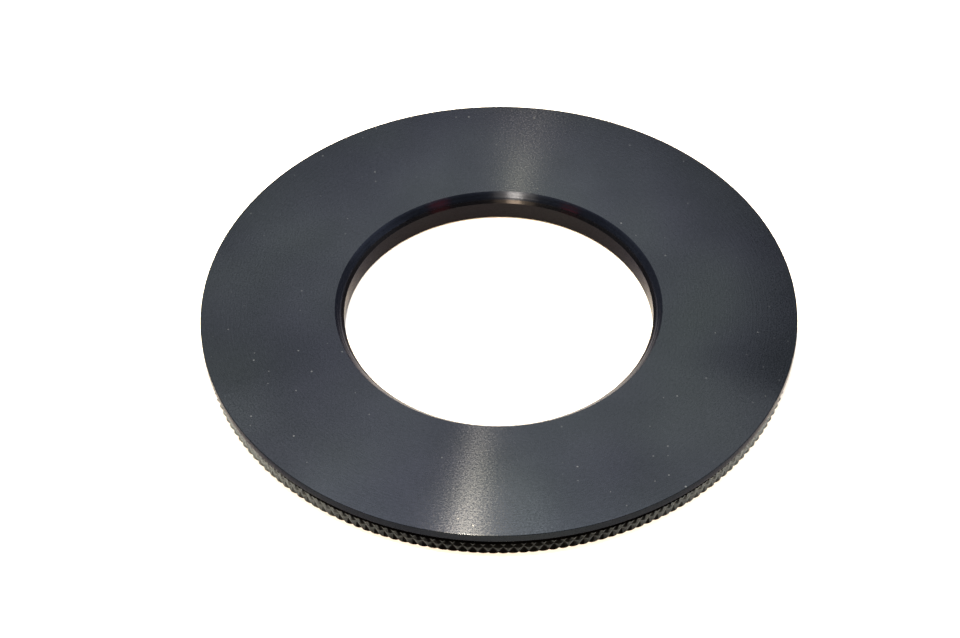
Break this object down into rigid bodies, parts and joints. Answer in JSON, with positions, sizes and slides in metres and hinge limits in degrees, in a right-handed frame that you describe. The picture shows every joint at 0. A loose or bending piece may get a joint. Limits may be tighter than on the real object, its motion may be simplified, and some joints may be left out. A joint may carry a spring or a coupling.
{
  "type": "knurled clamping flange",
  "caption": "Thin round flange with a bevelled bore and a knurled lock ring that screws up a threaded hub to clamp it on a panel around a pipe.",
  "frame": {"origin": "centre of the bore on the underside of the lock ring, on which the flange stands", "axes": "+Z along the bore axis, from the lock ring up to the face of the plate"},
  "size_m": [0.1, 0.1, 0.0051],
  "materials": {
    "plate_anodised": "black anodised over fine facing marks",
    "hub_anodised": "black anodised, smooth bored",
    "ring_anodised": "black anodised over a diamond knurl",
    "washer_steel": "stamped stainless steel",
    "gasket_rubber": "matt moulded rubber"
  },
  "bodies": {
    "lock_ring": {"lock_ring": "ring_anodised"},
    "washer": {"slip_washer": "washer_steel"},
    "flange": {"face_plate": "plate_anodised", "threaded_hub": "hub_anodised", "panel_gasket": "gasket_rubber"}
  },
  "joints": [
    {"name": "ring_turn", "type": "hinge", "parent": "lock_ring", "child": "washer", "pos_m": [0, 0, 0.002], "axis": [0, 0, 1], "range_deg": [0, 480]},
    {"name": "thread_travel", "type": "slide", "parent": "washer", "child": "flange", "axis": [0, 0, 1], "range_m": [0, 0.002]}
  ],
  "couplings": [
    {"joint": "thread_travel", "follows": "ring_turn", "m_per_rad": 0.00023873}
  ]
}
